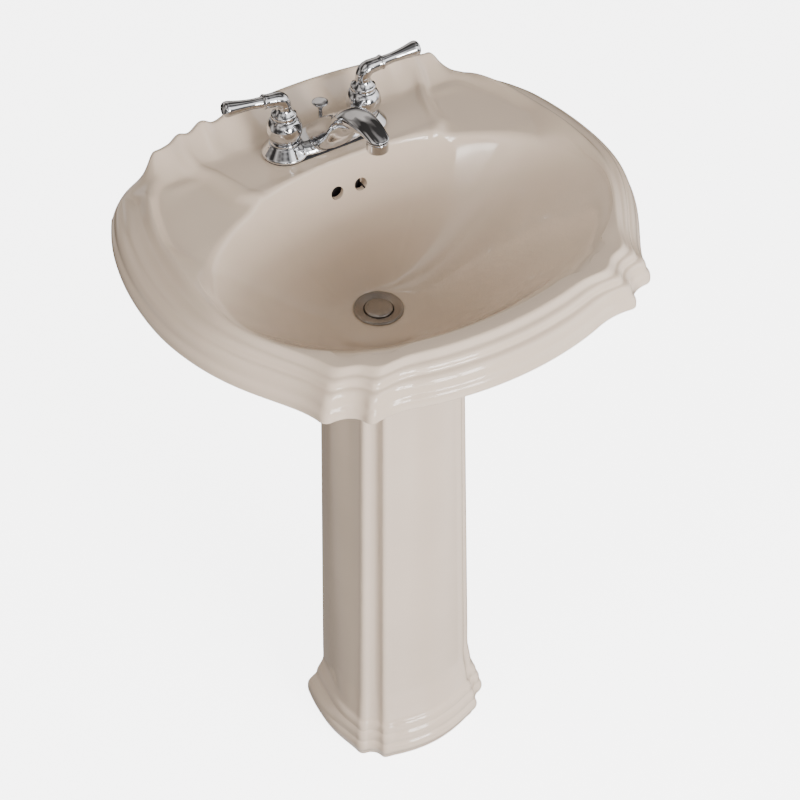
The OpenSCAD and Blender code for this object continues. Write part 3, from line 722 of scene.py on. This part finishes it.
def web_with_hole(x, y0, y1, z, hole, r, n=48):
    """A flat bar with one hole through it."""
    a = np.linspace(0, 2 * np.pi, n, endpoint=False)
    ring = np.c_[hole[0] + r * np.cos(a), hole[1] + r * np.sin(a)]
    # the bar's edge, met by a ray from the hole in each direction
    box = []
    for c, s in zip(np.cos(a), np.sin(a)):
        t = min((x / abs(c)) if abs(c) > 1e-9 else 1e9,
                ((y1 - hole[1]) / s) if s > 1e-9 else 1e9, ((y0 - hole[1]) / s) if s < -1e-9 else 1e9)
        box.append([hole[0] + c * t, hole[1] + s * t])
    box = np.array(box)
    loops = [np.c_[box, np.zeros(n)], np.c_[box, np.full(n, z - 1.5)],
             np.c_[hole + (box - hole) * [0.985, 0.9], np.full(n, z)],
             np.c_[ring, np.full(n, z)], np.c_[ring, np.zeros(n)]]
    return loft(loops + [loops[0]])


points, faces = web_with_hole(90.0, -46.0, -22.0, 14.0, np.array([0.0, -34.0]), 5.5)
web = mesh_object("pedestal_web", points, faces, "sink", china, angle=40)
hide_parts("pedestal")


# ---------- faucet ----------

def catmull(points, n):
    """A smooth curve through the points, in n steps from each to the next."""
    p = np.array(points, float)
    p = np.vstack([2 * p[0] - p[1], p, 2 * p[-1] - p[-2]])
    out = []
    for i in range(1, len(p) - 2):
        for t in np.linspace(0, 1, n, endpoint=False):
            out.append(0.5 * ((2 * p[i]) + (-p[i - 1] + p[i + 1]) * t
                              + (2 * p[i - 1] - 5 * p[i] + 4 * p[i + 1] - p[i + 2]) * t * t
                              + (-p[i - 1] + 3 * p[i] - 3 * p[i + 1] + p[i + 2]) * t ** 3))
    out.append(p[-2])
    return np.array(out)


# Base of a handle's column: radius, height above the gasket
BELL = [[0, 0], [26.6, 0], [27, 0.6], [27, 2.4], [26.2, 3.6], [24.8, 5.4], [22.9, 7.6], [21.0, 10.0],
        [19.3, 12.0], [18.2, 13.2], [17.9, 14.5], [0, 14.5]]


def spout_sections(n=40):
    """Rounded sections of the hood and the spout, from the back to the outlet."""
    rows = [
        # top y, z   bottom y, z   w top  w bottom
        [130, 843, 128, 838, 14, 24],
        [122, 856, 120, 837, 13, 31],
        [108, 869, 104, 837, 12, 33],
        [94, 880, 88, 838, 12.5, 31],
        [82, 889.5, 76, 850, 13.5, 25],
        [68, 901, 67, 868, 16.5, 20],
        [54, 910, 54, 882, 17.5, 18],
        [38, 914, 40, 890, 17, 17],
        [24, 914, 27, 896, 15.6, 15.6],
        [11, 911.5, 19.5, 900.3, 14.2, 14.2],
        [1, 908.5, 15.8, 901.4, 13.2, 13.2],
        [-5.5, 906, 14.6, 901.8, 12.8, 12.8],
        [-9.3, 904.2, 14.2, 902, 12.6, 12.6],
        [-10.4, 902.8, 14.1, 902.1, 12.5, 12.5]]
    rows = catmull(rows, 4)
    power = 2 / 2.3
    a = np.linspace(0, 2 * np.pi, n, endpoint=False)
    c, s = np.cos(a), np.sin(a)
    across = np.sign(c) * np.abs(c) ** power
    upward = (np.sign(s) * np.abs(s) ** power + 1) / 2
    loops = []
    for ty, tz, by, bz, wt, wb in rows:
        width = mix(wb, wt, smooth((s + 1) / 2))
        loops.append(np.c_[width * across, mix(by, ty, upward), mix(bz, tz, upward)])
    return loops


def bridge_loops(n=60):
    """Low saddle between the two bells, seen from above a bar with round ends."""
    a = np.linspace(0, 2 * np.pi, n, endpoint=False)
    loops = []
    for z, g in ((0, 0), (3, 0), (6, -1.5), (9, -4), (11.5, -8), (13, -13)):
        x = 47 * np.sign(np.cos(a)) * np.abs(np.cos(a)) ** 0.5
        y = 112 + (24 + g) * np.sign(np.sin(a)) * np.abs(np.sin(a)) ** 0.6
        loops.append(np.c_[x, y, np.full(n, BODY_Z + z)])
    return loops


def remeshed(obj, voxel, rounds):
    """Joins overlapping closed parts into one skin with soft fillets between them."""
    skin = obj.modifiers.new("skin", "REMESH")
    skin.mode = "VOXEL"
    skin.voxel_size = voxel
    skin.use_smooth_shade = True
    soft = obj.modifiers.new("soft", "SMOOTH")
    soft.factor = 0.5
    soft.iterations = rounds
    bake_modifiers(obj)


parts = [lathe(BELL, (s * HANDLE_X, HANDLE_Y, BODY_Z)) for s in (-1, 1)]
parts.append(loft(spout_sections(), capped=True))
parts.append(loft(bridge_loops(), capped=True))
points, faces = join_parts(parts)
shell = mesh_object("faucet_shell", points, faces, "sink", chrome)
remeshed(shell, 0.0008, 14)
finish_piece(shell, "sink", chrome)
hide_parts("faucet_body")

collar = rounded([[8.2, 0], [11.6, 0], [12, 0.6], [12, 11], [11.6, 11.8], [12.2, 12.2], [12.2, 13.4],
                  [8.2, 13.4]], 0.3)
points, faces = lathe(collar, (0, 2, 888.5))
aerator = mesh_object("aerator_ring", points, faces, "sink", chrome, angle=50)
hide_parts("aerator_housing")


def bonnet_profile():
    """The ball under a lever with the fine rings below and above it."""
    out = [[10.1, 14.5], [16.6, 14.5], [16.9, 15.2], [16.9, 16.2], [16.5, 16.9]]
    for t in np.linspace(-47, 43, 26):
        out.append([20 * math.cos(math.radians(t)), 31.5 + 20 * math.sin(math.radians(t))])
    out += [[14.2, 45.3], [13.4, 46.0], [13.2, 47.2], [10.1, 47.4], [10.1, 14.5]]
    return out


LEVER_NECK, NECK_BEND, LEVER_TILT = 62.0, 10.0, 85


def lever_parts(s):
    """Collar, bent neck and tapered grip; s is -1 for hot and 1 for cold."""
    collar = rounded([[3.6, 48], [14.0, 48], [14.3, 48.4], [14.3, 50.4], [13.6, 51.6], [12.4, 52.6],
                      [11.0, 54.2], [9.6, 56.2], [8.8, 58.6], [8.4, 61], [8.4, 62.5], [3.6, 62.5]], 0.4)
    parts = [lathe(collar, (0, 0, 0), 72)]
    # the neck bends outwards round an arc of radius NECK_BEND
    loops = []
    a = np.linspace(0, 2 * np.pi, 48, endpoint=False)
    for t in np.linspace(-6, LEVER_TILT, 22):
        th = math.radians(t)
        r = 8.3 + 0.5 * bump(np.array((t - 45) / 45.0))
        out = r * np.cos(a) + NECK_BEND
        loops.append(np.c_[NECK_BEND - out * math.cos(th), r * np.sin(a), LEVER_NECK + out * math.sin(th)])
    parts.append(loft(loops, capped=True))
    grip = rounded([[0, -1], [8.3, -1], [8.1, 3], [7.7, 8], [7.9, 11.2], [8.5, 12.0], [8.6, 13.2],
                    [8.2, 14.2], [6.6, 14.8]], 0.4)
    taper = catmull([[6.4, 15.2], [6.05, 20], [5.9, 26], [6.3, 34], [7.1, 42], [8.2, 49.5], [8.9, 54.5],
                     [8.5, 58], [6.6, 60.4], [3.6, 61.3], [0, 61.5]], 5)
    taper[:, 0] = np.maximum(taper[:, 0], 0)
    tilt = Matrix.Rotation(math.radians(LEVER_TILT), 4, "Y")
    parts.append(lathe(np.vstack([grip, taper]), (NECK_BEND, 0, LEVER_NECK + NECK_BEND), 64, tilt))
    points, faces = join_parts(parts)
    # each lever rests a few degrees off the line of the handles
    turn = math.radians(-6 if s < 0 else -3)
    points = points * [s, 1, 1]
    rot = np.array([[math.cos(turn), -math.sin(turn), 0], [math.sin(turn), math.cos(turn), 0], [0, 0, 1]])
    points = points @ rot.T + [s * HANDLE_X, HANDLE_Y, BODY_Z]
    if s < 0:
        faces = [f[::-1] for f in faces]
    return points, faces


for s, side in ((-1, "hot"), (1, "cold")):
    points, faces = lathe(bonnet_profile(), (s * HANDLE_X, HANDLE_Y, BODY_Z), 112)
    ball = mesh_object(side + "_bonnet_ball", points, faces, "sink", chrome, angle=50)
    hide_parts(side + "_bonnet")
    points, faces = lever_parts(s)
    lev = mesh_object(side + "_lever_grip", points, faces, side + "_handle", chrome, angle=50)
    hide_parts(side + "_lever")

knob = rounded([[0, -0.2], [3.4, -0.2], [3.3, 1.4], [3.9, 3.2], [6.0, 4.8], [8.6, 6.2], [9.25, 7.1],
                [9.2, 8.0], [7.6, 8.9], [4.4, 9.4], [0, 9.6]], 0.5)
points, faces = lathe(knob, (0, 121, BODY_Z + 34), 72)
cap = mesh_object("lift_knob_cap", points, faces, "lift", chrome, angle=50)
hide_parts("lift_knob")


# ---------- drain ----------

# profiles below are radius, height
SEAT = 664.3  # the flange's seat in the bowl
flange = rounded([[17.2, -7], [19.2, -7], [19.2, 0.8], [29, 0.8], [29.2, 1.4], [28.6, 2.6], [27.2, 3.1],
                  [25.2, 2.9], [19.4, 1.5], [17.6, 1.1], [17.2, 0.4], [17.2, -7]], 0.3)
points, faces = lathe(flange, (0, 0, SEAT), 112)
ring = mesh_object("drain_flange_ring", points, faces, "sink", drain_metal, angle=50)
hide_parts("drain_flange")

TOP = SEAT + 3.6  # top of the open stopper
PIVOT_Z = 596.0
disc = rounded([[0, -6.4], [15.8, -6.4], [16.5, -5.6], [16.5, -1.6], [15.6, -0.6], [12.4, -0.1], [6, 0.1],
                [0, 0.15]], 0.4)
stem = rounded([[0, -56], [4, -56], [4, -4], [0, -4]], 0.4)
# the eye that the pivot rod reaches into
eye = rounded([[4.8, -1.5], [9, -1.5], [9, 1.5], [4.8, 1.5], [4.8, -1.5]], 0.3)


def fin(degrees):
    """Upright guide fin through the stem, turned from the X axis."""
    c, s = math.cos(math.radians(degrees)), math.sin(math.radians(degrees))
    corners = np.array([[-13, -0.9], [13, -0.9], [13, 0.9], [-13, 0.9]]) @ np.array([[c, s], [-s, c]])
    return loft([np.c_[corners, np.full(4, z)] for z in (TOP - 44, TOP - 4)], capped=True)


points, faces = join_parts([
    lathe(disc, (0, 0, TOP), 96), lathe(stem, (0, 0, TOP), 48), fin(45), fin(135),
    lathe(eye, (0, 0, PIVOT_Z), 48, Matrix.Rotation(math.radians(90), 4, "X"))])
plug = mesh_object("stopper_disc", points, faces, "stopper_body", drain_metal, angle=50)
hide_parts("stopper")


# ---------- floor, light and camera ----------

WORLD_STOPS = [(0.0, (0.33, 0.305, 0.285)), (0.4, (0.46, 0.43, 0.405)), (0.75, (0.74, 0.72, 0.71)),
               (1.0, (1.1, 1.09, 1.1))]
PATCHES = [(0.40, 0.12), (0.46, 0.6), (0.54, 1.1), (0.6, 2.1)]


def stage_floor():
    """Pale floor that glows evenly to the camera and lights nothing else."""
    n, size = 24, 9.0
    mesh = bpy.data.meshes.new("floor")
    across = np.linspace(-size, size, n)
    mesh.from_pydata([(x, y, 0.0) for y in across for x in across], [],
                     [(j * n + i, j * n + i + 1, (j + 1) * n + i + 1, (j + 1) * n + i)
                      for j in range(n - 1) for i in range(n - 1)])
    obj = bpy.data.objects.new("floor", mesh)
    bpy.context.collection.objects.link(obj)
    m, _, b = new_material("floor_pale", (0.92, 0.92, 0.92), 0.75)
    b.inputs["Specular IOR Level"].default_value = 0.1
    b.inputs["Emission Color"].default_value = (1, 1, 1, 1)
    b.inputs["Emission Strength"].default_value = 5.0
    mesh.materials.append(m)
    obj.visible_diffuse = False
    obj.visible_glossy = False


def studio_world():
    """Dim room with light and dark patches, brighter in front and dark behind."""
    world = bpy.data.worlds.new("studio")
    bpy.context.scene.world = world
    world.use_nodes = True
    nt = world.node_tree
    sky = nt.nodes["Background"]
    coord = nt.nodes.new("ShaderNodeTexCoord")
    dot = nt.nodes.new("ShaderNodeVectorMath")
    dot.operation = "DOT_PRODUCT"
    dot.inputs[1].default_value = Vector((0.35, -0.9, 0.05)).normalized()
    nt.links.new(coord.outputs["Generated"], dot.inputs[0])
    fac = remap(nt, dot.outputs["Value"], -0.75, 0.85, 0, 1)
    glow = ramp(nt, fac, WORLD_STOPS)
    cloud = tex_noise(nt, 1.7, 1, 0.4, coord.outputs["Generated"])
    patches = ramp(nt, cloud, [(at, (grey, grey, grey)) for at, grey in PATCHES])
    both = nt.nodes.new("ShaderNodeMix")
    both.data_type = "RGBA"
    both.blend_type = "MULTIPLY"
    both.inputs["Factor"].default_value = 1.0
    nt.links.new(glow, both.inputs["A"])
    nt.links.new(patches, both.inputs["B"])
    nt.links.new(both.outputs["Result"], sky.inputs["Color"])
    sky.inputs["Strength"].default_value = 1.0


def area(name, pos, target, size, power, color, size_y=None):
    """A square light, or a rectangle when size_y is given, that faces the target."""
    light = bpy.data.lights.new(name, "AREA")
    light.energy = power
    light.color = color
    light.size = size
    if size_y:
        light.shape = "RECTANGLE"
        light.size_y = size_y
    obj = bpy.data.objects.new(name, light)
    obj.location = pos
    obj.rotation_euler = (Vector(target) - Vector(pos)).to_track_quat("-Z", "Y").to_euler()
    bpy.context.collection.objects.link(obj)
    return obj


stage_floor()
studio_world()

MIDDLE = (0, 0.0, 0.7)
# soft lights that no gloss shows: name, place, target, width, power, colour, height where it isn't square
FILLS = [
    ("key", (0.32, -3.1, 0.96), MIDDLE, 1.6, 96, (0.98, 0.985, 1.05), 1.1),
    ("left_fill", (-2.5, -0.5, 1.45), MIDDLE, 1.2, 30, (1.0, 0.99, 1.02)),
    ("low_front", (0.1, -2.6, 0.4), (0, 0, 0.25), 1.0, 15, (1.0, 0.995, 1.02)),
    ("top_fill", (-0.3, -0.5, 2.9), MIDDLE, 1.6, 13, (1.0, 0.97, 0.93)),
    ("rear_fill", (0.3, 1.9, 2.1), MIDDLE, 1.4, 3, (1.0, 0.97, 0.94))]
for fill in FILLS:
    area(*fill).visible_glossy = False

# a long thin lamp; the bowl's right wall mirrors it as a streak
strip_a, strip_b = Vector((-0.05, -2.92, 0.62)), Vector((-1.5, -2.25, 1.72))
bowl_wall = Vector((0.08, 0.06, 0.72))
along = strip_b - strip_a
middle = (strip_a + strip_b) / 2
strip = area("strip", middle, bowl_wall, 0.03, 5.0, (1.0, 0.98, 0.95), along.length)
facing = (middle - bowl_wall).normalized()
across = along.cross(facing).normalized()
strip.rotation_euler = Matrix((across, facing.cross(across), facing)).transposed().to_euler()

# a window of two by three panes in front, from the rim's height upwards
for col in (-1, 1):
    for row in (-1, 0, 1):
        area("pane", (0.35 + col * 0.21, -2.9, 1.35 + row * 0.36), (0, 0, 0.75), 0.34, 6.0, (1, 1, 1), 0.28)

# the camera looks down from the front left, a little rolled
camera_data = bpy.data.cameras.new("camera")
camera = bpy.data.objects.new("camera", camera_data)
bpy.context.collection.objects.link(camera)
camera_data.sensor_width = 36
camera_data.lens = 88.673
camera_data.clip_end = 50
TURN, TILT, ROLL, DIST = 0.578554, 0.767344, 0.00992307, 2.3705
LOOK_AT = Vector((0.03027, 0.046, 0.50458))
back = Vector((-math.sin(TURN) * math.cos(TILT), -math.cos(TURN) * math.cos(TILT), math.sin(TILT)))
right = Vector((math.cos(TURN), -math.sin(TURN), 0))
up = back.cross(right)
rolled_right = math.cos(ROLL) * right + math.sin(ROLL) * up
rolled_up = math.cos(ROLL) * up - math.sin(ROLL) * right
pose = Matrix((rolled_right, rolled_up, back)).transposed().to_4x4()
pose.translation = LOOK_AT + back * DIST
camera.matrix_world = pose
bpy.context.scene.camera = camera

bpy.context.view_layer.update()
